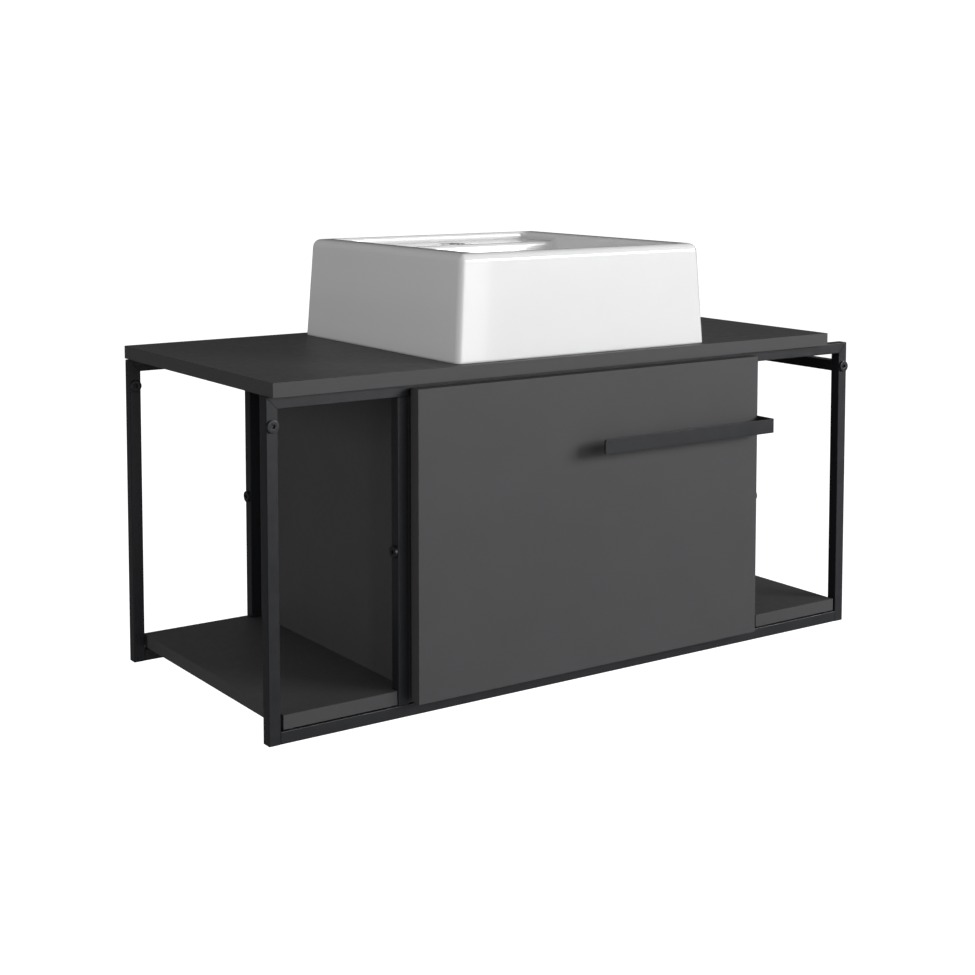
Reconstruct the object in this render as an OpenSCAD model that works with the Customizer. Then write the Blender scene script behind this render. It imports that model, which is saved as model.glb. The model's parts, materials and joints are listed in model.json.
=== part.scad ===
// Wall-hung washstand. A front and a back frame of square steel tube carry a worktop, two open
// shelves and a cabinet with one drawer, and a square ceramic vessel basin stands on the worktop.
//
// Everything is drawn from the front left bottom corner of the tube frame: X to the right,
// Y to the back, Z up. place() then puts the origin on the wall, midway between the wall holes.

/* [Tube frame] */
// Width over the frame
frame_w = 980; // [940:5:1060]
// Depth over the frame
frame_d = 426; // [416:2:446]
// Height of the frame
frame_h = 428; // [424:2:460]
// Side of the square tube
tube = 16; // [15:0.5:17]
// Wall thickness of the tube
tube_wall = 1.5; // [1:0.25:2]
// Left face of the left inner posts
left_inner_x = 183.6; // [170:0.2:190]
// Left face of the right inner posts
right_inner_x = 780.4; // [776:0.2:800]
// Underside of the towel rail
towel_rail_z = 384; // [340:2:388]

/* [Worktop and shelves] */
// Thickness of the worktop, shelves and cabinet boards
board = 18; // [16:1:19]
// Left end of the worktop
top_x0 = 4; // [0:1:10]
// Right end of the worktop
top_x1 = 928; // [900:1:950]
// Overhang of the worktop past the frame, in front and behind
top_overhang = 11; // [8:0.5:14]
// Height of the pads that the shelves and the cabinet stand on
pad_h = 1.5; // [1:0.5:3]

/* [Basin] */
// Width of the basin's base
basin_w = 420.7; // [400:0.1:440]
// Depth of the basin's base
basin_d = 408.3; // [400:0.1:420]
// Height of the basin
basin_h = 142; // [136:1:150]
// How far the left and right sides lean in over the height
basin_lean_x = 9.3; // [6:0.1:12]
// How far the front and back lean in over the height
basin_lean_y = 4.8; // [3:0.1:6]
// Left edge of the basin's base
basin_x = 275.7; // [260:0.1:290]
// Front edge of the basin's base
basin_y = 1.9; // [0:0.1:6]
// Radius of the tap hole
tap_hole_r = 17.5; // [16:0.5:18]
// Radius of the drain hole
drain_hole_r = 22.5; // [21:0.5:24]

/* [Drawer] */
// Height of the drawer front
front_h = 402.7; // [380:0.1:402.7]
// Underside of the drawer front
front_z = 20.4; // [20:0.1:24]
// Gap between the frame and the back of the drawer front
front_gap = 4; // [3:0.5:6]
// Height of the drawer box
box_h = 200; // [160:5:240]
// Depth of the drawer box behind its front
box_d = 370; // [360:5:375]
// Thickness of the drawer box boards
box_board = 12; // [10:1:13]
// Length of the drawer slides
slide_l = 350; // [350:5:355]

/* [Handle] */
// Height of the flat bar
handle_h = 20; // [15:1:25]
// Thickness of the flat bar
handle_t = 3; // [2.5:0.5:4]
// Length of the handle's front bar
handle_l = 307; // [250:1:330]
// How far the handle stands in front of the drawer front
handle_out = 33; // [25:1:40]
// Underside of the handle
handle_z = 317; // [250:1:340]

/* [Hidden] */

// Colours
steel_black = [0.13, 0.13, 0.14];
board_grey = [0.30, 0.30, 0.31];
ceramic_white = [0.95, 0.95, 0.95];
zinc = [0.75, 0.76, 0.78];
plastic_black = [0.08, 0.08, 0.08];
clear_pad = [0.80, 0.80, 0.78];
beech = [0.80, 0.66, 0.46];

round_fn = 48;      // facets of a full circle, where the shape stays a true cylinder
hull_fn = 32;       // facets of the rounded corners inside a hull
past = 1;           // how far a cutter runs past the face that it cuts
joint_gap = 0.5;    // fitting gap where a board passes a tube

// Tube frame
inner = tube - 2 * tube_wall;
back_y = frame_d - tube;
rail_top_z = frame_h - tube;
inner_post_h = frame_h - 2 * tube;
wall_y = frame_d + top_overhang;
fixing_z = frame_h - tube / 2;
wall_hole_r = 3.5;
wall_hole_spacing = 780;
wall_hole_x = [(frame_w - wall_hole_spacing) / 2, (frame_w + wall_hole_spacing) / 2];

// Bolts with a flat round head and a hexagon socket
bolt_r = 3;
bolt_hole_r = 3.25;
bolt_head_r = 8;
bolt_head_h = 3.6;
socket_af = 5;
socket_depth = 2.6;
frame_bolt_z = towel_rail_z + tube / 2;
cabinet_bolt_z = frame_h / 2;
rivet_r = 4.5;
rivet_l = 11;
insert_r = 5;
insert_l = 14;

// Worktop
top_z = frame_h + board;
top_screw_x = [240, 480, 740];
top_screw_r = 2;

// Shelves and cabinet
low_z = tube + pad_h;
left_board_x = left_inner_x + tube;
right_board_x = right_inner_x - board;
cab_x0 = left_board_x + board;
cab_x1 = right_board_x;
cab_y0 = 1;
cab_y1 = frame_d - 1;
shelf_y0 = 1.5;
shelf_y1 = frame_d - 1.5;
stretcher_y = 391;
stretcher_h = 80;
stretcher_back_y = stretcher_y + board;
dowel_r = 4;
dowel_l = 30;

// Basin
basin_x1 = basin_x + basin_w;
basin_y1 = basin_y + basin_d;
basin_cx = basin_x + basin_w / 2;
basin_top = top_z + basin_h;
basin_wall = 12;
bowl_wall = 11;
side_rim = 29.5;        // width of the left and right rims
end_rim = 16.3;         // width of the front and back rims
deck_drop = 10.7;       // the tap deck lies this far below the rim
deck_d = 86.5;          // depth of the tap deck
bowl_depth = 110;
bowl_x0 = basin_x + basin_lean_x + side_rim;
bowl_x1 = basin_x1 - basin_lean_x - side_rim;
bowl_y0 = basin_y + basin_lean_y + end_rim;
bowl_y1 = basin_y1 - basin_lean_y - end_rim - deck_d;
bowl_cy = (bowl_y0 + bowl_y1) / 2;
bowl_lean = 16;         // the bowl narrows by this much on each side
deck_z = basin_top - deck_drop;
deck_t = 12;
tap_y = bowl_y1 + 30;

// Drawer
front_y1 = -front_gap;
front_y0 = front_y1 - board;
front_x0 = left_board_x + 1.2;
front_x1 = right_inner_x - 3.3;
slide_t = 12.7;
box_x0 = cab_x0 + slide_t;
box_x1 = cab_x1 - slide_t;
box_y0 = front_y1;
box_y1 = front_y1 + box_d;
box_z = 44;
box_bottom_t = 8;
box_floor_z = box_z + box_bottom_t;
box_in_x0 = box_x0 + box_board;
box_in_x1 = box_x1 - box_board;
recess_w = 180;
recess_x0 = basin_cx - recess_w / 2;
recess_x1 = basin_cx + recess_w / 2;
recess_y = 108;
front_screw_x = [box_in_x0 + 40, box_in_x1 - 40];
front_screw_z = [box_floor_z + 35, box_z + box_h - 35];
screw_r = 2;
screw_hole_r = 2.3;
screw_head_r = 4;
screw_head_h = 2.4;
bumper_r = 4;
bumper_x = [front_x0 + 8.5, front_x1 - 8.5];
bumper_z = [front_z + 20, front_z + front_h - 20];

// Slides: three nested channels of sheet steel
slide_y = 17;
slide_z = 112;          // middle of the slides' height
slide_sheet = 1.2;
outer_half = 22.5;      // half heights of the three channels
middle_half = 19;
inner_half = 15;

// Handle
handle_bend_r = 4;
handle_x1 = front_x1 + handle_t;
handle_x0 = handle_x1 - handle_l;
handle_y0 = front_y0 - handle_out;
handle_leg_y1 = front_y1 - 2;
handle_screw_z = [handle_z + 5, handle_z + handle_h - 5];
handle_screw_y = front_y0 + board / 2;

// ---------------------------------------------------------------- helpers

// Moves the origin to the wall plane, midway between the two wall holes.
module place() {
    translate([-frame_w / 2, -wall_y, -fixing_z]) children();
}

// A box from its low corner to its high corner.
module block(low, high) {
    translate(low) cube(high - low);
}

// A square tube that stands up from the origin.
module tube_z(length) {
    linear_extrude(length) difference() {
        square(tube);
        translate([tube_wall, tube_wall]) square(inner);
    }
}

// A square tube along X, from the origin.
module tube_x(length) {
    rotate([90, 0, 90]) tube_z(length);
}

// A square tube along Y, from the origin.
module tube_y(length) {
    translate([0, length, 0]) rotate([90, 0, 0]) tube_z(length);
}

// Cylinders along X and Y, that start at the origin and run in the positive direction.
module rod_x(r, length) {
    rotate([0, 90, 0]) cylinder(r = r, h = length, $fn = round_fn);
}

module rod_y(r, length) {
    rotate([-90, 0, 0]) cylinder(r = r, h = length, $fn = round_fn);
}

// A triangle in the X-Z plane, extruded through the tube's depth.
module mitre_cutter(points) {
    translate([0, tube + past, 0]) rotate([90, 0, 0])
        linear_extrude(tube + 2 * past) polygon(points);
}

// A flat-headed bolt: the head's underside is at the origin and the shank points up.
module bolt(shank_l) {
    difference() {
        union() {
            translate([0, 0, -bolt_head_h])
                cylinder(r = bolt_head_r, h = bolt_head_h, $fn = round_fn);
            cylinder(r = bolt_r, h = shank_l, $fn = round_fn);
        }
        translate([0, 0, -bolt_head_h - past])
            cylinder(d = socket_af / cos(30), h = socket_depth + past, $fn = 6);
    }
}

// A pan-head screw with a cross slot: head at the origin, shank pointing up.
module screw(shank_l) {
    difference() {
        union() {
            translate([0, 0, -screw_head_h])
                cylinder(r = screw_head_r, h = screw_head_h, $fn = round_fn);
            cylinder(r = screw_r, h = shank_l, $fn = round_fn);
        }
        for (turn = [0, 90])
            translate([0, 0, -screw_head_h]) rotate([0, 0, turn])
                cube([4.4, 0.9, 2.4], center = true);
    }
}

// ---------------------------------------------------------------- tube frame

// A top rail, mitred at both ends, with clearance holes for the worktop's screws.
module top_rail() {
    difference() {
        translate([0, 0, rail_top_z]) tube_x(frame_w);
        mitre_cutter([
            [-past, rail_top_z - past], [tube + past, rail_top_z - past], [-past, frame_h + past]
        ]);
        mitre_cutter([
            [frame_w + past, rail_top_z - past], [frame_w - tube - past, rail_top_z - past],
            [frame_w + past, frame_h + past]
        ]);
        for (x = top_screw_x)
            translate([x, tube / 2, rail_top_z - past])
                cylinder(r = screw_hole_r, h = tube + 2 * past, $fn = round_fn);
    }
}

module bottom_rail() {
    translate([tube, 0, 0]) tube_x(frame_w - 2 * tube);
}

// A corner post: mitred at the top towards the rail, square at the bottom.
module left_post() {
    difference() {
        tube_z(frame_h);
        mitre_cutter([
            [-past, frame_h + past], [tube + past, frame_h + past],
            [tube + past, rail_top_z - past]
        ]);
    }
}

module right_post() {
    translate([frame_w, 0, 0]) mirror([1, 0, 0]) left_post();
}

// Holes for the frame bolts, through both walls of a post, along Y.
module frame_bolt_hole(x, r = bolt_hole_r) {
    translate([x + tube / 2, -past, frame_bolt_z]) rod_y(r, tube + 2 * past);
}

module front_top_rail() {
    color(steel_black) place() top_rail();
}

module back_top_rail() {
    color(steel_black) place() translate([0, back_y, 0]) difference() {
        top_rail();
        for (x = wall_hole_x)
            translate([x, -past, fixing_z]) rod_y(wall_hole_r, tube + 2 * past);
    }
}

module front_bottom_rail() {
    color(steel_black) place() bottom_rail();
}

module back_bottom_rail() {
    color(steel_black) place() translate([0, back_y, 0]) bottom_rail();
}

module front_left_post() {
    color(steel_black) place() difference() {
        left_post();
        translate([tube / 2, -past, frame_bolt_z]) rod_y(rivet_r, tube_wall + 2 * past);
    }
}

module back_left_post() {
    color(steel_black) place() translate([0, back_y, 0]) difference() {
        left_post();
        translate([tube / 2, -past, frame_bolt_z]) rod_y(rivet_r, tube_wall + 2 * past);
    }
}

module front_right_post() {
    color(steel_black) place() difference() {
        right_post();
        frame_bolt_hole(frame_w - tube);
    }
}

module back_right_post() {
    color(steel_black) place() translate([0, back_y, 0]) difference() {
        right_post();
        frame_bolt_hole(frame_w - tube);
    }
}

// An inner post between the two rails, drilled across for the cabinet bolt.
module inner_post(x, y) {
    color(steel_black) place() difference() {
        translate([x, y, tube]) tube_z(inner_post_h);
        translate([x - past, y + tube / 2, cabinet_bolt_z]) rod_x(bolt_hole_r, tube + 2 * past);
    }
}

module front_left_inner_post() inner_post(left_inner_x, 0);

module front_right_inner_post() inner_post(right_inner_x, 0);

module back_left_inner_post() inner_post(left_inner_x, back_y);

module back_right_inner_post() inner_post(right_inner_x, back_y);

module towel_rail() {
    color(steel_black) place()
        translate([frame_w - tube, tube, towel_rail_z]) tube_y(frame_d - 2 * tube);
}

// Threaded plugs in both ends of the towel rail.
module towel_rail_plugs() {
    plug_l = 16;
    color(zinc) place() for (y = [tube, back_y - plug_l])
        translate([frame_w - tube + tube_wall, y, towel_rail_z + tube_wall]) difference() {
            cube([inner, plug_l, inner]);
            translate([inner / 2, -past, inner / 2]) rod_y(bolt_r, plug_l + 2 * past);
        }
}

// Plugs that close the posts' lower ends, flush with the tube.
module post_plugs() {
    plug_h = 10;
    color(plastic_black) place() for (x = [0, frame_w - tube], y = [0, back_y])
        translate([x + tube_wall, y + tube_wall, 0]) cube([inner, inner, plug_h]);
}

// Right: the two bolts that hold the towel rail. Left: two that close the spare holes.
module frame_bolts() {
    long = 26;
    short = 10;
    color(steel_black) place() {
        for (y = [0, back_y]) translate([tube / 2, y, frame_bolt_z]) rotate([-90, 0, 0]) bolt(short);
        translate([frame_w - tube / 2, 0, frame_bolt_z]) rotate([-90, 0, 0]) bolt(long);
        translate([frame_w - tube / 2, frame_d, frame_bolt_z]) rotate([90, 0, 0]) bolt(long);
    }
}

module rivet_nuts() {
    color(zinc) place() for (y = [0, back_y])
        translate([tube / 2, y, frame_bolt_z]) difference() {
            rod_y(rivet_r, rivet_l);
            translate([0, -past, 0]) rod_y(bolt_r, rivet_l + 2 * past);
        }
}

// One bolt through each inner post at mid height, into the cabinet's side board.
module cabinet_bolts() {
    shank = tube + insert_l - 1;
    color(steel_black) place() for (y = [tube / 2, back_y + tube / 2]) {
        translate([left_inner_x, y, cabinet_bolt_z]) rotate([0, 90, 0]) bolt(shank);
        translate([right_inner_x + tube, y, cabinet_bolt_z]) rotate([0, -90, 0]) bolt(shank);
    }
}

// Places its child at the four spots where the bolts enter the cabinet's sides, pointing in.
module at_inserts() {
    for (y = [tube / 2, back_y + tube / 2]) {
        translate([left_board_x, y, cabinet_bolt_z]) rotate([0, 90, 0]) children();
        translate([right_inner_x, y, cabinet_bolt_z]) rotate([0, -90, 0]) children();
    }
}

module cabinet_inserts() {
    color(zinc) place() at_inserts() difference() {
        cylinder(r = insert_r, h = insert_l, $fn = round_fn);
        translate([0, 0, -past]) cylinder(r = bolt_r, h = insert_l + 2 * past, $fn = round_fn);
    }
}

// Two sleeves round the wall screws hold the frame clear of the wall.
module wall_spacers() {
    color(plastic_black) place() for (x = wall_hole_x)
        translate([x, frame_d, fixing_z]) difference() {
            rod_y(7.5, top_overhang);
            translate([0, -past, 0]) rod_y(wall_hole_r, top_overhang + 2 * past);
        }
}

module wall_pads() {
    color(plastic_black) place() for (x = wall_hole_x)
        translate([x, frame_d, tube / 2]) rod_y(7.5, top_overhang);
}

// ---------------------------------------------------------------- worktop and shelves

module worktop() {
    drain_cut_r = 45;
    tap_cut_r = 30;
    screw_depth = 13;
    color(board_grey) place() difference() {
        block([top_x0, -top_overhang, frame_h], [top_x1, wall_y, top_z]);
        translate([basin_cx, bowl_cy, frame_h - past])
            cylinder(r = drain_cut_r, h = board + 2 * past, $fn = 96);
        translate([basin_cx, tap_y, frame_h - past])
            cylinder(r = tap_cut_r, h = board + 2 * past, $fn = 96);
        for (x = top_screw_x, y = [tube / 2, back_y + tube / 2])
            translate([x, y, frame_h - past])
                cylinder(r = top_screw_r, h = screw_depth + past, $fn = round_fn);
    }
}

module worktop_screws() {
    color(zinc) place() for (x = top_screw_x, y = [tube / 2, back_y + tube / 2])
        translate([x, y, rail_top_z]) screw(tube + 12);
}

// A shelf between the outer and the inner posts, notched round the inner posts.
// Drawn for the left bay: from shelf_x at the outer side to board_x at the cabinet.
module shelf_outline(shelf_x, notch_x, board_x) {
    notch_y0 = tube + joint_gap;
    notch_y1 = back_y - joint_gap;
    polygon([
        [shelf_x, shelf_y0], [notch_x, shelf_y0], [notch_x, notch_y0], [board_x, notch_y0],
        [board_x, notch_y1], [notch_x, notch_y1], [notch_x, shelf_y1], [shelf_x, shelf_y1]
    ]);
}

module left_shelf() {
    color(board_grey) place() translate([0, 0, low_z]) linear_extrude(board)
        shelf_outline(tube + 4, left_inner_x - joint_gap, left_board_x);
}

module right_shelf() {
    color(board_grey) place() translate([0, 0, low_z]) linear_extrude(board)
        shelf_outline(frame_w - tube - 2.5, right_inner_x + tube + 4.5, right_inner_x);
}

// Pads between the bottom rails and the boards that stand on them.
module shelf_pads() {
    pad_r = 5;
    xs = [32, left_inner_x - 12, left_board_x + board / 2, right_inner_x - board / 2,
          right_inner_x + tube + 16, frame_w - 32];
    color(plastic_black) place() for (x = xs, y = [tube / 2, back_y + tube / 2])
        translate([x, y, tube]) cylinder(r = pad_r, h = pad_h, $fn = round_fn);
}

// ---------------------------------------------------------------- cabinet

// Side board: notched at the top round the two rails, up to the worktop.
module cabinet_side(x) {
    notch = tube + joint_gap;
    difference() {
        block([x, cab_y0, low_z], [x + board, cab_y1, frame_h]);
        for (y = [cab_y0 - past, frame_d - notch])
            block([x - past, y, frame_h - notch], [x + board + past, y + notch + past, frame_h + past]);
        cabinet_dowel_holes();
        at_inserts() cylinder(r = insert_r, h = insert_l, $fn = round_fn);
    }
}

// Places its child at each dowel, pointing from the left side board into the cabinet.
module at_dowels() {
    bottom_z = low_z + board / 2;
    ys = [50, (cab_y0 + stretcher_y) / 2, 360];
    stretcher_mid = stretcher_y + board / 2;
    upper_z = rail_top_z - 1 - stretcher_h;
    lower_z = low_z + board;
    spots = concat(
        [for (y = ys) [y, bottom_z]],
        [for (z = [upper_z, lower_z], end = [20, stretcher_h - 20]) [stretcher_mid, z + end]]
    );
    for (spot = spots) {
        translate([cab_x0, spot[0], spot[1]]) rotate([0, 90, 0]) children();
        translate([cab_x1, spot[0], spot[1]]) rotate([0, -90, 0]) children();
    }
}

// A dowel lies 12 mm deep in the side board and the rest in the board that it holds.
module dowel(r = dowel_r, spare = 0) {
    side_depth = 12;
    translate([0, 0, -side_depth - spare])
        cylinder(r = r, h = dowel_l + 2 * spare, $fn = round_fn);
}

module cabinet_dowel_holes() {
    at_dowels() dowel(spare = 1);
}

module cabinet_dowels() {
    color(beech) place() at_dowels() dowel();
}

module cabinet_left_side() {
    color(board_grey) place() cabinet_side(left_board_x);
}

module cabinet_right_side() {
    color(board_grey) place() cabinet_side(right_board_x);
}

module cabinet_bottom() {
    color(board_grey) place() difference() {
        block([cab_x0, cab_y0 + 20, low_z], [cab_x1, stretcher_back_y, low_z + board]);
        cabinet_dowel_holes();
    }
}

module cabinet_stretcher(z) {
    color(board_grey) place() difference() {
        block([cab_x0, stretcher_y, z], [cab_x1, stretcher_back_y, z + stretcher_h]);
        cabinet_dowel_holes();
    }
}

module cabinet_upper_stretcher() cabinet_stretcher(rail_top_z - 1 - stretcher_h);

module cabinet_lower_stretcher() cabinet_stretcher(low_z + board);

// ---------------------------------------------------------------- basin

// Places its child at a rectangle's four corners, inset by r.
module corners(x0, x1, y0, y1, r) {
    for (x = [x0 + r, x1 - r], y = [y0 + r, y1 - r]) translate([x, y, 0]) children();
}

// The leaning outside, with a rounded rim.
module basin_outside() {
    edge_r = 8;
    rim_r = 11;
    hull() {
        translate([0, 0, top_z]) corners(basin_x, basin_x1, basin_y, basin_y1, edge_r)
            cylinder(r = edge_r, h = 1, $fn = hull_fn);
        translate([0, 0, basin_top - rim_r])
            corners(basin_x + basin_lean_x, basin_x1 - basin_lean_x,
                    basin_y + basin_lean_y, basin_y1 - basin_lean_y, rim_r)
                sphere(r = rim_r, $fn = hull_fn);
    }
}

// The bowl's inside, grown by extra on every side for the underside of its shell.
module bowl(extra = 0) {
    mouth_r = 16 + extra;
    floor_r = 30 + extra;
    hull() {
        translate([0, 0, basin_top])
            corners(bowl_x0 - extra, bowl_x1 + extra, bowl_y0 - extra, bowl_y1 + extra, mouth_r)
                cylinder(r = mouth_r, h = past, $fn = hull_fn);
        translate([0, 0, basin_top - bowl_depth - extra + floor_r])
            corners(bowl_x0 + bowl_lean - extra, bowl_x1 - bowl_lean + extra,
                    bowl_y0 + bowl_lean - extra, bowl_y1 - bowl_lean + extra, floor_r)
                sphere(r = floor_r, $fn = hull_fn);
    }
}

// The recess over the tap deck, which opens into the bowl in front.
module deck_recess() {
    recess_r = 12;
    hull() translate([0, 0, deck_z])
        corners(bowl_x0, bowl_x1, bowl_y1 - 40, bowl_y1 + deck_d, recess_r)
            cylinder(r = recess_r, h = deck_drop + past, $fn = hull_fn);
}

// The hollow underneath: inside the outer walls, outside the bowl's shell.
module basin_hollow() {
    lean = 6;
    hollow_r = 6;
    difference() {
        hull() {
            translate([0, 0, top_z - past])
                corners(basin_x + basin_wall, basin_x1 - basin_wall,
                        basin_y + basin_wall, basin_y1 - basin_wall, hollow_r)
                    cylinder(r = hollow_r, h = 1, $fn = hull_fn);
            translate([0, 0, deck_z - deck_t - 1])
                corners(basin_x + basin_wall + lean, basin_x1 - basin_wall - lean,
                        basin_y + basin_wall + lean, basin_y1 - basin_wall - lean, hollow_r)
                    cylinder(r = hollow_r, h = 1, $fn = hull_fn);
        }
        bowl(bowl_wall);
    }
}

module basin() {
    color(ceramic_white) place() difference() {
        basin_outside();
        bowl();
        deck_recess();
        basin_hollow();
        translate([basin_cx, tap_y, deck_z - deck_t - past])
            cylinder(r = tap_hole_r, h = deck_t + 2 * past, $fn = 96);
        translate([basin_cx, bowl_cy, basin_top - bowl_depth - bowl_wall - past])
            cylinder(r = drain_hole_r, h = bowl_wall + 2 * past, $fn = 96);
    }
}

// ---------------------------------------------------------------- drawer slides

// A channel along Y, drawn for the left side: its web at x and its flanges towards tip_x.
module channel(x, tip_x, half) {
    web_x = x < tip_x ? x : x - slide_sheet;
    translate([0, slide_y, 0]) {
        block([web_x, 0, slide_z - half], [web_x + slide_sheet, slide_l, slide_z + half]);
        for (z = [slide_z - half, slide_z + half - slide_sheet])
            block([min(x, tip_x), 0, z], [max(x, tip_x), slide_l, z + slide_sheet]);
    }
}

// The three channels of one slide, numbered from the cabinet to the drawer.
module slide_outer() {
    color(zinc) channel(cab_x0, cab_x0 + 9.4, outer_half);
}

module slide_middle() {
    color(zinc) channel(cab_x0 + 2.2, cab_x0 + 10.8, middle_half);
}

module slide_inner() {
    color(zinc) channel(cab_x0 + slide_t, cab_x0 + 4.6, inner_half);
}

// Mirrors a left slide to the cabinet's right side.
module to_right() {
    translate([cab_x0 + cab_x1, 0, 0]) mirror([1, 0, 0]) children();
}

module left_slide_outer() place() slide_outer();

module left_slide_middle() place() slide_middle();

module left_slide_inner() place() slide_inner();

module right_slide_outer() place() to_right() slide_outer();

module right_slide_middle() place() to_right() slide_middle();

module right_slide_inner() place() to_right() slide_inner();

// ---------------------------------------------------------------- drawer

module drawer_front() {
    pilot = 12;
    color(board_grey) place() difference() {
        block([front_x0, front_y0, front_z], [front_x1, front_y1, front_z + front_h]);
        for (x = front_screw_x, z = front_screw_z)
            translate([x, front_y1 - pilot, z]) rod_y(screw_r, pilot + past);
        for (z = handle_screw_z)
            translate([front_x1 - 14, handle_screw_y, z]) rod_x(1.5, 14 + past);
    }
}

module drawer_inner_front() {
    color(board_grey) place() difference() {
        block([box_in_x0, box_y0, box_floor_z], [box_in_x1, box_y0 + box_board, box_z + box_h]);
        for (x = front_screw_x, z = front_screw_z)
            translate([x, box_y0 - past, z]) rod_y(screw_hole_r, box_board + 2 * past);
    }
}

module drawer_left_side() {
    color(board_grey) place()
        block([box_x0, box_y0, box_z], [box_in_x0, box_y1, box_z + box_h]);
}

module drawer_right_side() {
    color(board_grey) place()
        block([box_in_x1, box_y0, box_z], [box_x1, box_y1, box_z + box_h]);
}

// The floor of the box, open at the back where the waste pipe comes down.
module drawer_bottom() {
    color(board_grey) place() difference() {
        block([box_in_x0, box_y0, box_z], [box_in_x1, box_y1, box_floor_z]);
        block([recess_x0, recess_y, box_z - past], [recess_x1, box_y1 + past, box_floor_z + past]);
    }
}

module box_wall(x0, x1, y0, y1) {
    color(board_grey) place() block([x0, y0, box_floor_z], [x1, y1, box_z + box_h]);
}

module drawer_back_left() box_wall(box_in_x0, recess_x0 - box_board, box_y1 - box_board, box_y1);

module drawer_back_right() box_wall(recess_x1 + box_board, box_in_x1, box_y1 - box_board, box_y1);

module recess_left_wall() box_wall(recess_x0 - box_board, recess_x0, recess_y - box_board, box_y1);

module recess_right_wall() box_wall(recess_x1, recess_x1 + box_board, recess_y - box_board, box_y1);

module recess_front_wall() box_wall(recess_x0, recess_x1, recess_y - box_board, recess_y);

module front_screws() {
    color(zinc) place() for (x = front_screw_x, z = front_screw_z)
        translate([x, box_y0 + box_board, z]) rotate([90, 0, 0]) screw(box_board + 11);
}

module drawer_bumpers() {
    running_gap = 0.3;
    color(clear_pad) place() for (x = bumper_x, z = bumper_z)
        translate([x, front_y1, z]) rod_y(bumper_r, front_gap + cab_y0 - running_gap);
}

// ---------------------------------------------------------------- handle

// Outline in plan of the bent flat bar: front bar, bend and the leg along the front's edge.
module handle_outline() {
    bend_x = handle_x1 - handle_bend_r;
    bend_y = handle_y0 + handle_bend_r;
    translate([handle_x0, handle_y0]) square([handle_l - handle_bend_r, handle_t]);
    translate([handle_x1 - handle_t, bend_y]) square([handle_t, handle_leg_y1 - bend_y]);
    translate([bend_x, bend_y]) intersection() {
        difference() {
            circle(r = handle_bend_r, $fn = round_fn);
            circle(r = handle_bend_r - handle_t, $fn = round_fn);
        }
        translate([0, -handle_bend_r]) square(handle_bend_r);
    }
}

module handle() {
    color(steel_black) place() difference() {
        translate([0, 0, handle_z]) linear_extrude(handle_h) handle_outline();
        for (z = handle_screw_z)
            translate([handle_x1 - handle_t - past, handle_screw_y, z]) rod_x(1.6, handle_t + 2 * past);
    }
}

// Two small screws hold the leg to the front's edge; their heads lie flush in the bar.
module handle_screws() {
    color(steel_black) place() for (z = handle_screw_z)
        translate([handle_x1 - 14, handle_screw_y, z]) rod_x(1.5, 14);
}

// ---------------------------------------------------------------- output

worktop();
basin();
front_top_rail();
front_bottom_rail();
back_top_rail();
back_bottom_rail();
front_left_post();
front_right_post();
back_left_post();
back_right_post();
front_left_inner_post();
front_right_inner_post();
back_left_inner_post();
back_right_inner_post();
towel_rail();
towel_rail_plugs();
post_plugs();
frame_bolts();
rivet_nuts();
cabinet_bolts();
cabinet_inserts();
left_shelf();
right_shelf();
shelf_pads();
cabinet_left_side();
cabinet_right_side();
cabinet_bottom();
cabinet_upper_stretcher();
cabinet_lower_stretcher();
cabinet_dowels();
worktop_screws();
wall_spacers();
wall_pads();
left_slide_outer();
left_slide_middle();
left_slide_inner();
right_slide_outer();
right_slide_middle();
right_slide_inner();
drawer_front();
drawer_inner_front();
drawer_left_side();
drawer_right_side();
drawer_bottom();
drawer_back_left();
drawer_back_right();
recess_left_wall();
recess_right_wall();
recess_front_wall();
front_screws();
drawer_bumpers();
handle();
handle_screws();
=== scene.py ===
# Wall-hung washstand with a square vessel basin: meshes, materials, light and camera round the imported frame.
# Everything is in metres in the frame's own axes: X right, Y into the wall, Z up.
import json
import math

import bmesh
import bpy
import numpy as np
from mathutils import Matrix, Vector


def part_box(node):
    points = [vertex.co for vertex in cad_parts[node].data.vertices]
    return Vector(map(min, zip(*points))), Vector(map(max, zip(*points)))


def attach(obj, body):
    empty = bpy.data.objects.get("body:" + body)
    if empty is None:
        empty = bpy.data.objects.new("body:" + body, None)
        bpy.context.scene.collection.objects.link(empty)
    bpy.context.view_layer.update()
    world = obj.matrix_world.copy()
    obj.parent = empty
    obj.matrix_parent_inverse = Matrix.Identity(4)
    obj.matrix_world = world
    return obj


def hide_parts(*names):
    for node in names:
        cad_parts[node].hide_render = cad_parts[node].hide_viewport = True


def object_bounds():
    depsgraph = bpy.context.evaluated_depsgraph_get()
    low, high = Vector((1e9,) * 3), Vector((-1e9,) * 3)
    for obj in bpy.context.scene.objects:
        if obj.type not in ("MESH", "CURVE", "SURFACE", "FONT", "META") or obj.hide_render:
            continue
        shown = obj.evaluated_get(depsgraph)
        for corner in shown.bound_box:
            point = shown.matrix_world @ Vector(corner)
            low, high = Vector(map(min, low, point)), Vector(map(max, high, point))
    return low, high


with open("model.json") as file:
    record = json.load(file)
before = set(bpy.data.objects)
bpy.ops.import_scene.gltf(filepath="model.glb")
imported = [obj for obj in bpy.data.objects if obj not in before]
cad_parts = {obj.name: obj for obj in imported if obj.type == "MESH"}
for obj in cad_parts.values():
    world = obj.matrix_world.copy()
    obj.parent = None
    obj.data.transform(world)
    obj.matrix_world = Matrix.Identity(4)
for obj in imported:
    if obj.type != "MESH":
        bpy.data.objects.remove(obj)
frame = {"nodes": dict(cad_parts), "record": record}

import openvdb
from mathutils import Matrix, Vector

cad_lo, cad_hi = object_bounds()

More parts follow.
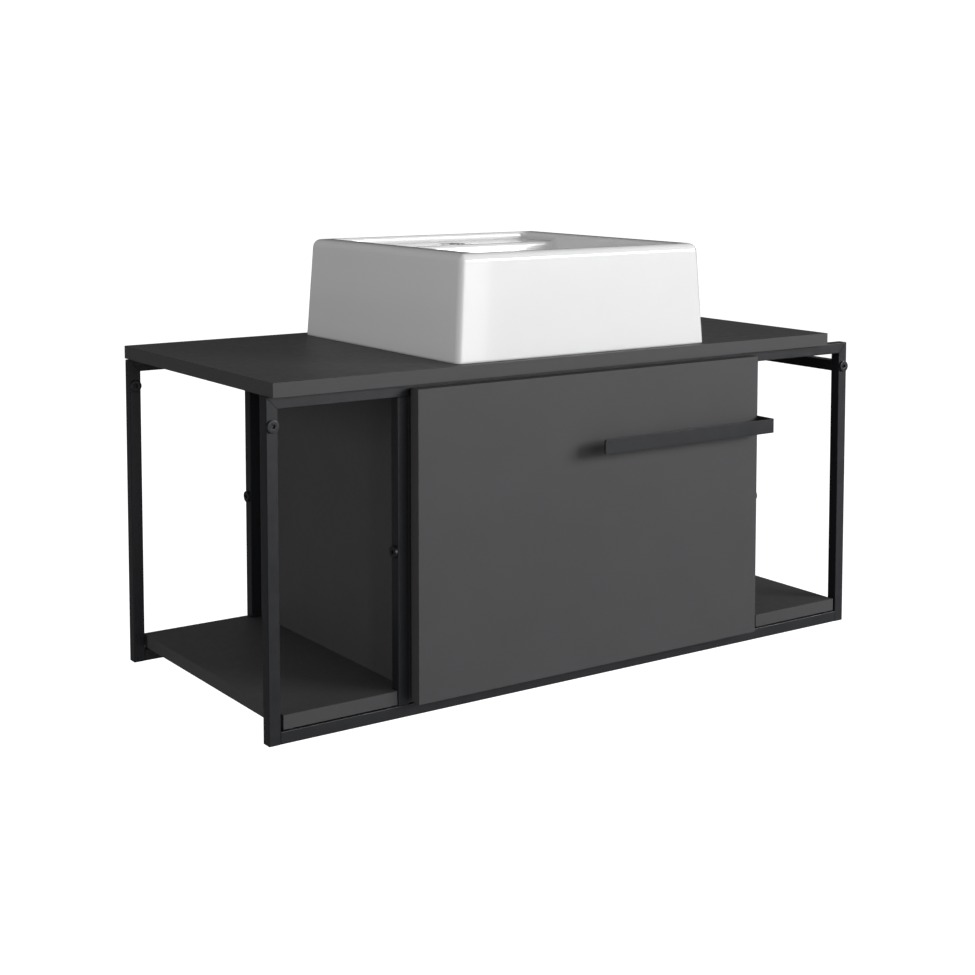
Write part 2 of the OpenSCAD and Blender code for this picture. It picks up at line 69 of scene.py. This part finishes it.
MM = 0.001
NODES = frame["nodes"]
MOUNTS = {m["name"]: m for m in frame["record"]["mounts"]}
BODIES = frame["record"]["behaviour"]["bodies"]
SLOTS = {s["node"]: s["material_slot"] for s in frame["record"]["subparts"]}


def body_of_node(node):
    """The body that a CAD node rides on."""
    return next(body for body, nodes in BODIES.items() if node in nodes)


# ---------------------------------------------------------------- shader nodes

def new_material(name, base, roughness, metallic=0.0, **sockets):
    """A Principled material. Its uniform values sit on the shader's own sockets."""
    mat = bpy.data.materials.new(name)
    mat.use_nodes = True
    shader = mat.node_tree.nodes["Principled BSDF"]
    shader.inputs["Base Color"].default_value = (*base, 1.0)
    shader.inputs["Roughness"].default_value = roughness
    shader.inputs["Metallic"].default_value = metallic
    for socket, value in sockets.items():
        shader.inputs[socket.replace("_", " ")].default_value = value
    return mat, shader


def noise(mat, scale, detail=3.0, stretch=(1, 1, 1)):
    """Noise over object coordinates, which are metres in the frame; stretch above 1 packs it tighter."""
    tree = mat.node_tree
    coords = tree.nodes.new("ShaderNodeTexCoord")
    mapping = tree.nodes.new("ShaderNodeMapping")
    mapping.inputs["Scale"].default_value = stretch
    texture = tree.nodes.new("ShaderNodeTexNoise")
    texture.inputs["Scale"].default_value = scale
    texture.inputs["Detail"].default_value = detail
    tree.links.new(coords.outputs["Object"], mapping.inputs["Vector"])
    tree.links.new(mapping.outputs["Vector"], texture.inputs["Vector"])
    return texture.outputs["Fac"]


def remap(mat, value, low, high, from_low=0.3, from_high=0.7):
    """The value, stretched from its usual span to low..high."""
    node = mat.node_tree.nodes.new("ShaderNodeMapRange")
    node.inputs["From Min"].default_value = from_low
    node.inputs["From Max"].default_value = from_high
    node.inputs["To Min"].default_value = low
    node.inputs["To Max"].default_value = high
    mat.node_tree.links.new(value, node.inputs["Value"])
    return node.outputs["Result"]


def tint(mat, value, dark, light):
    """A colour between dark and light by the value."""
    node = mat.node_tree.nodes.new("ShaderNodeMix")
    node.data_type = "RGBA"
    node.inputs[6].default_value = (*dark, 1.0)
    node.inputs[7].default_value = (*light, 1.0)
    mat.node_tree.links.new(value, node.inputs[0])
    return node.outputs[2]


def bump(mat, value, depth, previous=None):
    """A bump of the given depth in metres, on top of a previous one."""
    node = mat.node_tree.nodes.new("ShaderNodeBump")
    node.inputs["Strength"].default_value = 1.0
    node.inputs["Distance"].default_value = depth
    mat.node_tree.links.new(value, node.inputs["Height"])
    if previous is not None:
        mat.node_tree.links.new(previous, node.inputs["Normal"])
    return node.outputs["Normal"]


def link(mat, value, socket):
    mat.node_tree.links.new(value, mat.node_tree.nodes["Principled BSDF"].inputs[socket])


def shade(colour, factor):
    return tuple(c * factor for c in colour)


# ---------------------------------------------------------------- materials

def powder_coat(name, base, roughness):
    """Fine-textured powder coat: a tight orange peel over a slow wave, with a little change in gloss."""
    mat, _ = new_material(name, base, roughness, Specular_IOR_Level=0.4)
    peel = noise(mat, 900, 2.0)
    wave = noise(mat, 55, 2.0)
    specks = remap(mat, noise(mat, 1600, 2.0), 0, 1)
    link(mat, tint(mat, specks, shade(base, 0.90), shade(base, 1.10)), "Base Color")
    link(mat, remap(mat, wave, roughness - 0.04, roughness + 0.05), "Roughness")
    link(mat, bump(mat, wave, 0.04 * MM, bump(mat, peel, 0.022 * MM)), "Normal")
    return mat


def melamine(name, base, roughness):
    """Supermatt melamine: pearl-grain bump and a faint mottle."""
    mat, _ = new_material(name, base, roughness, Specular_IOR_Level=0.25)
    grain = noise(mat, 1500, 3.0)
    mottle = noise(mat, 14, 3.0)
    link(mat, tint(mat, remap(mat, mottle, 0, 1), shade(base, 0.975), shade(base, 1.025)), "Base Color")
    link(mat, remap(mat, noise(mat, 90, 3.0), roughness - 0.03, roughness + 0.03), "Roughness")
    link(mat, bump(mat, grain, 0.012 * MM), "Normal")
    return mat


def glaze(name, base):
    """Vitreous china: a clear, almost flat glaze over a white body. Where the point mask is 1, the colour is a
    near-black painted shade that stands in for the shadow inside the tap hole.
    """
    mat, _ = new_material(name, base, 0.22, Coat_Weight=1.0, Coat_Roughness=0.04, Coat_IOR=1.5)
    cloud = tint(mat, remap(mat, noise(mat, 6, 2.0), 0, 1), shade(base, 0.985), base)
    hole_shade = mat.node_tree.nodes.new("ShaderNodeAttribute")
    hole_shade.attribute_name = "hole_shade"
    colour = mat.node_tree.nodes.new("ShaderNodeMix")
    colour.data_type = "RGBA"
    # Painted shade: near-black in place of the shadow down the tap hole, not the clay's own colour.
    colour.inputs[7].default_value = (*PAINTED_HOLE_SHADE, 1.0)
    mat.node_tree.links.new(hole_shade.outputs["Fac"], colour.inputs[0])
    mat.node_tree.links.new(cloud, colour.inputs[6])
    link(mat, colour.outputs[2], "Base Color")
    link(mat, remap(mat, noise(mat, 30, 2.0), 0.19, 0.25), "Roughness")
    fine = bump(mat, noise(mat, 260, 2.0), 0.003 * MM)
    link(mat, bump(mat, noise(mat, 16, 1.0), 0.04 * MM, fine), "Normal")
    return mat


def plated_steel(name, base, roughness, stretch=(1, 1, 1)):
    """Zinc-plated sheet or turned steel, with fine drawing marks along one axis."""
    mat, _ = new_material(name, base, roughness, metallic=1.0)
    marks = noise(mat, 400, 4.0, stretch)
    patches = remap(mat, noise(mat, 60, 4.0), 0, 1)
    link(mat, tint(mat, patches, shade(base, 0.93), shade(base, 1.05)), "Base Color")
    link(mat, remap(mat, marks, roughness - 0.04, roughness + 0.06), "Roughness")
    link(mat, bump(mat, marks, 0.003 * MM), "Normal")
    return mat


def moulded(name, base, roughness):
    """Moulded plastic or elastomer with a spark-eroded texture."""
    mat, _ = new_material(name, base, roughness)
    grain = noise(mat, 700, 4.0)
    patches = remap(mat, noise(mat, 40, 3.0), 0, 1)
    link(mat, tint(mat, patches, shade(base, 0.93), shade(base, 1.05)), "Base Color")
    link(mat, remap(mat, grain, roughness - 0.05, roughness + 0.08), "Roughness")
    link(mat, bump(mat, grain, 0.03 * MM), "Normal")
    return mat


def beech_wood(name, base):
    """Turned beech: short darker flecks along X."""
    mat, _ = new_material(name, base, 0.55)
    fleck = noise(mat, 500, 3.0, (0.12, 1, 1))
    link(mat, tint(mat, remap(mat, fleck, 0, 1), shade(base, 0.72), shade(base, 1.08)), "Base Color")
    link(mat, bump(mat, fleck, 0.04 * MM), "Normal")
    return mat


STEEL_BLACK = (0.0140, 0.0146, 0.0180)
BOARD_GREY = (0.0637, 0.0630, 0.0662)
CERAMIC_WHITE = (0.88, 0.88, 0.885)
# Painted shade: near-black that stands in for the shadow inside the tap hole, not the clay's own colour.
PAINTED_HOLE_SHADE = (0.035, 0.034, 0.033)
ZINC = (0.70, 0.71, 0.73)
PLASTIC_BLACK = (0.022, 0.022, 0.023)
CLEAR_GREY = (0.66, 0.67, 0.66)
BEECH = (0.60, 0.42, 0.24)

MATERIALS = {
    "powder_coated_steel": powder_coat("powder_coat", STEEL_BLACK, 0.36),
    "matt_grey_board": melamine("melamine", BOARD_GREY, 0.50),
    "drawer_box_board": melamine("melamine_box", shade(BOARD_GREY, 1.15), 0.55),
    "glazed_white_ceramic": glaze("glaze", CERAMIC_WHITE),
    "zinc_plated_steel": plated_steel("zinc_plate", ZINC, 0.38, (1, 0.06, 1)),
    "black_plastic": moulded("black_plastic", PLASTIC_BLACK, 0.48),
    "clear_elastomer": moulded("clear_elastomer", CLEAR_GREY, 0.35),
    "beech": beech_wood("beech", BEECH),
}


# ---------------------------------------------------------------- mesh helpers

def add_piece(name, bm, node, smooth_angle=35):
    """Turns a bmesh into a piece that stands for a CAD node, rides on its body and wears its material."""
    mesh = bpy.data.meshes.new(name)
    bmesh.ops.recalc_face_normals(bm, faces=bm.faces)
    bm.to_mesh(mesh)
    bm.free()
    piece = bpy.data.objects.new(name, mesh)
    bpy.context.collection.objects.link(piece)
    mesh.shade_smooth()
    if smooth_angle:
        mesh.set_sharp_from_angle(angle=math.radians(smooth_angle))
        piece.modifiers.new("normals", "WEIGHTED_NORMAL").keep_sharp = True
    mesh.materials.append(MATERIALS[SLOTS[node]])
    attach(piece, body_of_node(node))
    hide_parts(node)
    return piece


def bridge(bm, rings, closed=True):
    """Joins rings of equally many vertices with quads, and where closed caps both ends."""
    for a, b in zip(rings, rings[1:]):
        for i in range(len(a)):
            j = (i + 1) % len(a)
            bm.faces.new((a[i], a[j], b[j], b[i]))
    if closed:
        bm.faces.new(rings[0])
        bm.faces.new(rings[-1])


def rounded_rectangle(width, height, radius, steps=5):
    """Points round a rectangle with its low corner at the origin and arcs at its corners."""
    centres = [(width - radius, height - radius), (radius, height - radius),
               (radius, radius), (width - radius, radius)]
    points = []
    for quarter, (cx, cy) in enumerate(centres):
        for k in range(steps + 1):
            angle = (quarter + k / steps) * math.pi / 2
            points.append((cx + radius * math.cos(angle), cy + radius * math.sin(angle)))
    return points


# ---------------------------------------------------------------- tube frame

TUBE_EDGE = 1.1 * MM
TUBE_END = 0.35 * MM


def tube(name, axis, mitre=None):
    """A square tube over its CAD node's box: rolled long edges and lightly broken ends.
    mitre(p) gives how far a point of the section pulls its two ends back along the axis."""
    lo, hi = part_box(name)
    across = [i for i in range(3) if i != axis]
    side = hi[across[0]] - lo[across[0]]
    bm = bmesh.new()
    rings = []
    for end, inset in ((0, TUBE_END), (0, 0), (1, 0), (1, TUBE_END)):
        ring = []
        for u, v in rounded_rectangle(side, side, TUBE_EDGE):
            p = Vector((0, 0, 0))
            p[across[0]] = lo[across[0]] + inset + u * (1 - 2 * inset / side)
            p[across[1]] = lo[across[1]] + inset + v * (1 - 2 * inset / side)
            back = (TUBE_END - inset) + (mitre(p)[end] if mitre else 0)
            p[axis] = hi[axis] - back if end else lo[axis] + back
            ring.append(bm.verts.new(p))
        rings.append(ring)
    bridge(bm, rings)
    add_piece(name + "_tube", bm, name)


def frame_tubes():
    top_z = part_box("front_top_rail")[1].z
    left_x, right_x = cad_lo.x, cad_hi.x
    for end in ("front", "back"):
        tube(end + "_top_rail", 0, lambda p: (top_z - p.z, top_z - p.z))
        tube(end + "_bottom_rail", 0)
        tube(end + "_left_post", 2, lambda p: (0, p.x - left_x))
        tube(end + "_right_post", 2, lambda p: (0, right_x - p.x))
        tube(end + "_left_inner_post", 2)
        tube(end + "_right_inner_post", 2)
    tube("towel_rail", 1)


# ---------------------------------------------------------------- boards and small parts on their CAD shape

def dress(node, edge_mm, segments):
    """Breaks a CAD node's edges and gives it its slot's material."""
    piece = NODES[node]
    weld = piece.modifiers.new("weld", "WELD")
    weld.merge_threshold = 0.01 * MM
    edges = piece.modifiers.new("edges", "BEVEL")
    edges.width = edge_mm * MM
    edges.segments = segments
    edges.limit_method = "ANGLE"
    edges.angle_limit = math.radians(50)
    piece.data.materials.clear()
    piece.data.materials.append(MATERIALS[SLOTS[node]])
    for polygon in piece.data.polygons:
        polygon.material_index = 0


# ---------------------------------------------------------------- basin

def fillet(a, b, radius):
    """Where both a and b are negative, with a round edge of the radius between them."""
    radius = np.maximum(radius, 1e-6)
    inner = np.minimum(np.maximum(a, b), -radius)
    return inner + np.hypot(np.maximum(a + radius, 0), np.maximum(b + radius, 0))


def basin_field(x, y, z, lo, hi):
    """Signed distance to the basin's surface, negative inside. Lengths are in millimetres."""
    lean_x, lean_y = 9.3, 4.8
    side_rim, end_rim = 29.5, 16.3
    wall_edge, top_edge, foot_edge, rim_edge = 9.0, 11.0, 1.2, 4.5
    up = (z - lo[2]) / (hi[2] - lo[2])
    down = hi[2] - z
    outside_x = np.maximum(lo[0] + lean_x * up - x, x - hi[0] + lean_x * up)
    outside_y = np.maximum(lo[1] + lean_y * up - y, y - hi[1] + lean_y * up)
    walls = fillet(outside_x, outside_y, wall_edge)
    outside = fillet(fillet(walls, -down, top_edge), lo[2] - z, foot_edge)

    # The hollow for water: its side walls run through the tap deck's recess and the bowl. The recess
    # reaches forward over the bowl, so that the two join.
    bowl_depth, bowl_lean, bowl_edge = 110.0, 16.0, 30.0
    deck_depth, deck_slope, deck_edge = 86.5, 0.12, 5.0
    recess_reach, step_edge = 120.0, 4.5
    drain_flat, drain_fall = 30.0, 0.02
    corner_edge, corner_growth = 7.0, 0.25
    tap = MOUNTS["tap_hole"]
    drain = MOUNTS["drain_hole"]
    deck_z = tap["pos_m"][2] / MM
    deck_back = hi[1] - lean_y - end_rim
    deck_front = deck_back - deck_depth
    slope = bowl_lean / bowl_depth
    in_x = np.maximum(lo[0] + lean_x + side_rim + slope * down - x,
                      x - hi[0] + lean_x + side_rim + slope * down)
    front = lo[1] + lean_y + end_rim + slope * down - y
    to_drain = np.hypot(x - drain["pos_m"][0] / MM, y - drain["pos_m"][1] / MM)
    floor = hi[2] - bowl_depth + drain_fall * np.maximum(to_drain - drain_flat, 0) - z
    bowl = fillet(np.maximum(front, y - deck_front + slope * (deck_z - z)), floor, bowl_edge)
    recess = fillet(np.maximum(deck_front - recess_reach - y, y - deck_back + deck_slope * down),
                    deck_z - z, deck_edge)
    profile = -fillet(-bowl, -recess, step_edge)
    corner = np.clip(corner_edge + (deck_z - z) * corner_growth, corner_edge, bowl_edge)
    water = fillet(in_x, profile, corner)
    solid = fillet(outside, -water, rim_edge)

    # Underneath, the casting is hollow between its outer walls and the bowl's shell.
    wall, shell, hollow_edge = 12.0, 11.0, 3.0
    hollow = np.maximum(np.maximum(walls + wall, z - deck_z + wall), shell - water)
    solid = fillet(solid, -hollow, hollow_edge)

    drain_edge, tap_edge = 4.0, 0.8
    to_tap = np.hypot(x - tap["pos_m"][0] / MM, y - tap["pos_m"][1] / MM)
    solid = fillet(solid, drain["dims"]["r_mm"] - to_drain, drain_edge)
    return fillet(solid, tap["dims"]["r_mm"] - to_tap, tap_edge)


def basin():
    """The ceramic basin, meshed from its distance field."""
    pitch, margin, band = 2.2, 3, 8
    lo, hi = (np.array(corner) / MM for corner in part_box("basin"))
    start = lo - margin * pitch
    counts = np.ceil((hi - lo) / pitch).astype(int) + 2 * margin + 1
    axes = [start[i] + pitch * np.arange(counts[i]) for i in range(3)]
    field = basin_field(*np.meshgrid(*axes, indexing="ij"), lo, hi)
    grid = openvdb.FloatGrid(band * pitch)
    grid.copyFromArray(np.clip(field, -band * pitch, band * pitch).astype(np.float32))
    points, quads = grid.convertToQuads(0.0)
    points = start + pitch * np.asarray(points, float)

    # Slide each vertex along the field's slope until it lies on the true surface.
    nudge, passes, least_steepness = 0.05, 3, 0.2
    for _ in range(passes):
        value = basin_field(*points.T, lo, hi)
        ahead = [basin_field(*(points + nudge * step).T, lo, hi) for step in np.eye(3)]
        slope = (np.stack(ahead, axis=1) - value[:, None]) / nudge
        steepness = np.maximum((slope ** 2).sum(1), least_steepness)
        points -= (value / steepness)[:, None] * slope
    points = np.clip(points, lo, hi)

    bm = bmesh.new()
    verts = [bm.verts.new(p) for p in points * MM]
    for quad in quads:
        bm.faces.new([verts[i] for i in quad])
    piece = add_piece("vessel_basin", bm, "basin", smooth_angle=None)
    piece.data.normals_split_custom_set_from_vertices(slope / np.linalg.norm(slope, axis=1)[:, None])

    # Painted shade: the tap hole's wall, from just below the deck and a little past the hole's edge, is marked
    # for a near-black colour that stands in for the shadow down the hole.
    tap = MOUNTS["tap_hole"]
    shade_reach, shade_start = 1.0, 0.15
    x, y, z = points.T
    to_tap = np.hypot(x - tap["pos_m"][0] / MM, y - tap["pos_m"][1] / MM)
    hole_shade_mask = (to_tap < tap["dims"]["r_mm"] + shade_reach) & (z < tap["pos_m"][2] / MM - shade_start)
    hole_shade = piece.data.attributes.new("hole_shade", "FLOAT", "POINT")
    hole_shade.data.foreach_set("value", hole_shade_mask.astype(np.float32))


# ---------------------------------------------------------------- bolts

def lathe(bm, profile, steps, place):
    """Revolves (radius, height) points round Z and moves them by place. Equal counts of points join up."""
    rings = []
    for radius, height in profile:
        ring = []
        for k in range(steps):
            angle = 2 * math.pi * k / steps
            point = Vector((radius * math.cos(angle), radius * math.sin(angle), height))
            ring.append(bm.verts.new(place @ point))
        rings.append(ring)
    bridge(bm, rings, closed=False)
    return rings


def socket_bolt(bm, place, shank):
    """A flat round head with a hexagon socket. Before place moves it, the shank points along +Z from the
    origin and the head lies below."""
    head_r, head_h, chamfer, ease = 8 * MM, 3.6 * MM, 0.7 * MM, 0.2 * MM
    shank_r, point_r, point_h, end_r = 3 * MM, 2.4 * MM, 0.8 * MM, 0.4 * MM
    socket_flat, socket_depth = 2.5 * MM, 2.6 * MM
    lead_width, lead_depth = 0.5 * MM, 0.3 * MM
    steps = 48
    outside = lathe(bm, [
        (end_r, shank), (point_r, shank), (shank_r, shank - point_h), (shank_r, 0),
        (head_r - ease, 0), (head_r, -ease), (head_r, -head_h + chamfer),
        (head_r - 0.25 * chamfer, -head_h + 0.3 * chamfer), (head_r - chamfer, -head_h),
        (socket_flat / math.cos(math.pi / 6) + lead_width, -head_h),
    ], steps, place)
    bm.faces.new(outside[0])
    rings = [outside[-1]]
    for depth in (lead_depth, socket_depth):
        ring = []
        for k in range(steps):
            angle = 2 * math.pi * k / steps
            to_flat = (angle % (math.pi / 3)) - math.pi / 6
            radius = socket_flat / math.cos(to_flat)
            p = Vector((radius * math.cos(angle), radius * math.sin(angle), -head_h + depth))
            ring.append(bm.verts.new(place @ p))
        rings.append(ring)
    bridge(bm, rings, closed=False)
    bm.faces.new(rings[-1])


def turned(axis, sign):
    """A rotation that takes +Z to the signed axis."""
    target = Vector((0, 0, 0))
    target[axis] = sign
    return Vector((0, 0, 1)).rotation_difference(target).to_matrix().to_4x4()


def middle_z(node):
    lo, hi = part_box(node)
    return (lo.z + hi.z) / 2


def frame_bolts():
    """Two long bolts hold the towel rail, two short ones close the spare holes on the left."""
    bm = bmesh.new()
    for node, sign, shank in (("front_left_post", 1, 10), ("back_left_post", 1, 10),
                              ("front_right_post", 1, 26), ("back_right_post", -1, 26)):
        lo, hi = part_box(node)
        at = Vector(((lo.x + hi.x) / 2, lo.y if sign > 0 else hi.y, middle_z("frame_bolts")))
        socket_bolt(bm, Matrix.Translation(at) @ turned(1, sign), shank * MM)
    add_piece("frame_socket_bolts", bm, "frame_bolts")


def cabinet_bolts():
    """Four bolts hold the cabinet between the inner posts."""
    shank = 29 * MM
    bm = bmesh.new()
    for end in ("front", "back"):
        for side, sign in (("left", 1), ("right", -1)):
            lo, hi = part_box(f"{end}_{side}_inner_post")
            at = Vector((lo.x if sign > 0 else hi.x, (lo.y + hi.y) / 2, middle_z("cabinet_bolts")))
            socket_bolt(bm, Matrix.Translation(at) @ turned(0, sign), shank)
    add_piece("cabinet_socket_bolts", bm, "cabinet_bolts")


# ---------------------------------------------------------------- handle

def handle():
    """A bent flat bar: front bar, bend and leg, with rounded corners at both free ends."""
    lo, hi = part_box("handle")
    thick, bend, tip, ease = 3 * MM, 4 * MM, 3 * MM, 0.35 * MM
    height = hi.z - lo.z
    straight = hi.x - bend - lo.x
    leg_point = 20 * MM
    first_angle = 0.2
    near_end = [0.0, *(tip * (1 - math.cos(a)) for a in np.linspace(first_angle, math.pi / 2, 6))]

    # The bar's outer line in plan, from the free end to the leg's end. Each point has its inward normal and
    # its distance from the nearer end, which stops at tip.
    line = [(Vector((lo.x + s, lo.y, 0)), Vector((0, 1, 0)), min(s, tip)) for s in [*near_end, straight]]
    for a in np.linspace(0, math.pi / 2, 9)[1:]:
        out = Vector((math.sin(a), -math.cos(a), 0))
        line.append((Vector((hi.x - bend, lo.y + bend, 0)) + out * bend, -out, tip))
    for s in [leg_point, *near_end[::-1]]:
        line.append((Vector((hi.x, hi.y - s, 0)), Vector((-1, 0, 0)), min(s, tip)))

    bm = bmesh.new()
    rings = []
    for p, inward, s in line:
        # Near an end the bar's top and bottom corners are rounded off in elevation.
        cut = tip - math.sqrt(tip ** 2 - (tip - s) ** 2)
        section = rounded_rectangle(thick, height - 2 * cut, ease, 3)
        rings.append([bm.verts.new(p + inward * u + Vector((0, 0, lo.z + cut + v))) for u, v in section])
    bridge(bm, rings)
    add_piece("handle_bar", bm, "handle", smooth_angle=40)


# ---------------------------------------------------------------- drawer slides

def rolled_section(depth, height, inset):
    """The line of a lipped channel from lip to lip, moved inwards by inset. Its web lies on the left."""
    mouth_r, web_r, lip = 1.6 * MM, 2.6 * MM, 2.2 * MM
    line = [(depth - inset, lip)]
    for cx, cz, radius, start in ((depth - mouth_r, mouth_r, mouth_r, 0.0), (web_r, web_r, web_r, -0.5),
                                  (web_r, height - web_r, web_r, -1.0),
                                  (depth - mouth_r, height - mouth_r, mouth_r, -1.5)):
        for angle in np.linspace(start, start - 0.5, 6) * math.pi:
            reach = radius - inset
            line.append((cx + reach * math.cos(angle), cz + reach * math.sin(angle)))
    line.append((depth - inset, height - lip))
    return line


def slide_channel(node, mouth):
    """One rolled steel member of a slide, with its mouth towards -X or +X."""
    lo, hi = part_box(node)
    depth, height, sheet = hi.x - lo.x, hi.z - lo.z, 1.2 * MM
    section = rolled_section(depth, height, 0.0) + rolled_section(depth, height, sheet)[::-1]
    bm = bmesh.new()
    rings = []
    for y in (lo.y, hi.y):
        ring = [(lo.x + u if mouth > 0 else hi.x - u, y, lo.z + v) for u, v in section]
        rings.append([bm.verts.new(p) for p in ring])
    bridge(bm, rings)
    add_piece(node + "_channel", bm, node, smooth_angle=40)


# ---------------------------------------------------------------- assembly

frame_tubes()
basin()
frame_bolts()
cabinet_bolts()
handle()
for side, inward in (("left", 1), ("right", -1)):
    slide_channel(side + "_slide_outer", inward)
    slide_channel(side + "_slide_middle", inward)
    slide_channel(side + "_slide_inner", -inward)

# The nodes that no new piece stands for keep their CAD shape.
for node, cad_piece in NODES.items():
    if cad_piece.hide_render:
        continue
    if SLOTS[node] == "matt_grey_board":
        dress(node, edge_mm=0.7, segments=3)
    elif SLOTS[node] == "drawer_box_board":
        dress(node, edge_mm=0.5, segments=2)
    else:
        dress(node, edge_mm=0.25, segments=2)


# ---------------------------------------------------------------- stage, light and camera

WHITE_LEVEL = 1.05       # strength at which the floor and the background come out plain white


def stage_floor():
    """A plain floor, as far down as a wall-hung washstand leaves it: white to look at, grey to the light."""
    drop, half_size, grey = 0.42, 30, (0.25, 0.25, 0.25)
    mat, shader = new_material("floor", grey, 0.9)
    shader.inputs["Emission Color"].default_value = (1, 1, 1, 1)
    path = mat.node_tree.nodes.new("ShaderNodeLightPath")
    link(mat, remap(mat, path.outputs["Is Camera Ray"], 0.0, WHITE_LEVEL, 0, 1), "Emission Strength")
    bm = bmesh.new()
    bmesh.ops.create_grid(bm, x_segments=1, y_segments=1, size=half_size)
    mesh = bpy.data.meshes.new("floor")
    bm.to_mesh(mesh)
    bm.free()
    mesh.materials.append(mat)
    floor = bpy.data.objects.new("floor", mesh)
    floor.location.z = cad_lo.z - drop
    bpy.context.collection.objects.link(floor)


def softbox(name, azimuth, elevation, distance, size, power, glossy=True):
    """An area light that faces the object's centre, with its power in watts. Azimuth 0 is in front and 90 to
    the right. One that isn't glossy lights the surfaces but leaves no reflection on them."""
    data = bpy.data.lights.new(name, "AREA")
    data.shape = "RECTANGLE"
    data.size, data.size_y = size
    data.energy = power
    a, e = math.radians(azimuth), math.radians(elevation)
    away = Vector((math.sin(a) * math.cos(e), -math.cos(a) * math.cos(e), math.sin(e)))
    light = bpy.data.objects.new(name, data)
    light.location = (cad_lo + cad_hi) / 2 + away * distance
    light.rotation_euler = away.to_track_quat("Z", "Y").to_euler()
    light.visible_glossy = glossy
    bpy.context.collection.objects.link(light)


def world_light(ambient):
    """White behind the object, and a dimmer even light from all round it."""
    world = bpy.data.worlds.new("studio")
    world.use_nodes = True
    bpy.context.scene.world = world
    tree = world.node_tree
    back = tree.nodes["Background"]
    path = tree.nodes.new("ShaderNodeLightPath")
    level = tree.nodes.new("ShaderNodeMapRange")
    level.inputs["To Min"].default_value = ambient
    level.inputs["To Max"].default_value = WHITE_LEVEL
    tree.links.new(path.outputs["Is Camera Ray"], level.inputs["Value"])
    tree.links.new(level.outputs["Result"], back.inputs["Strength"])
    back.inputs["Color"].default_value = (1, 1, 1, 1)


def camera():
    """A long lens from the front left, placed from the frame's lower front left corner."""
    data = bpy.data.cameras.new("camera")
    data.sensor_width = 36.0
    data.lens = 63.657
    data.shift_y = -0.22
    data.clip_end = 100
    cam = bpy.data.objects.new("camera", data)
    corner = Vector((cad_lo.x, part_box("front_left_post")[0].y, cad_lo.z))
    from_corner = Vector((-936.0, -1828.1, 737.8)) * MM
    yaw, pitch = math.radians(-34.505), math.radians(-4.522)
    cam.location = corner + from_corner
    cam.rotation_euler = (math.pi / 2 + pitch, 0, yaw)
    bpy.context.collection.objects.link(cam)
    bpy.context.scene.camera = cam


stage_floor()
world_light(0.10)
softbox("key", 40, 15, 6.0, (2.6, 1.6), 238)
softbox("fill", 10, 10, 6.0, (5.0, 3.0), 100)
softbox("high", 60, 50, 4.0, (2.0, 2.0), 16, glossy=False)
softbox("left", -80, 12, 6.0, (3.0, 3.0), 100, glossy=False)
softbox("top", 0, 85, 4.0, (3.0, 3.0), 9, glossy=False)
softbox("right", 100, 12, 6.0, (3.0, 3.0), 20, glossy=False)
softbox("back", 180, 20, 6.0, (3.0, 3.0), 70, glossy=False)
camera()
bpy.context.scene.view_settings.view_transform = "Standard"
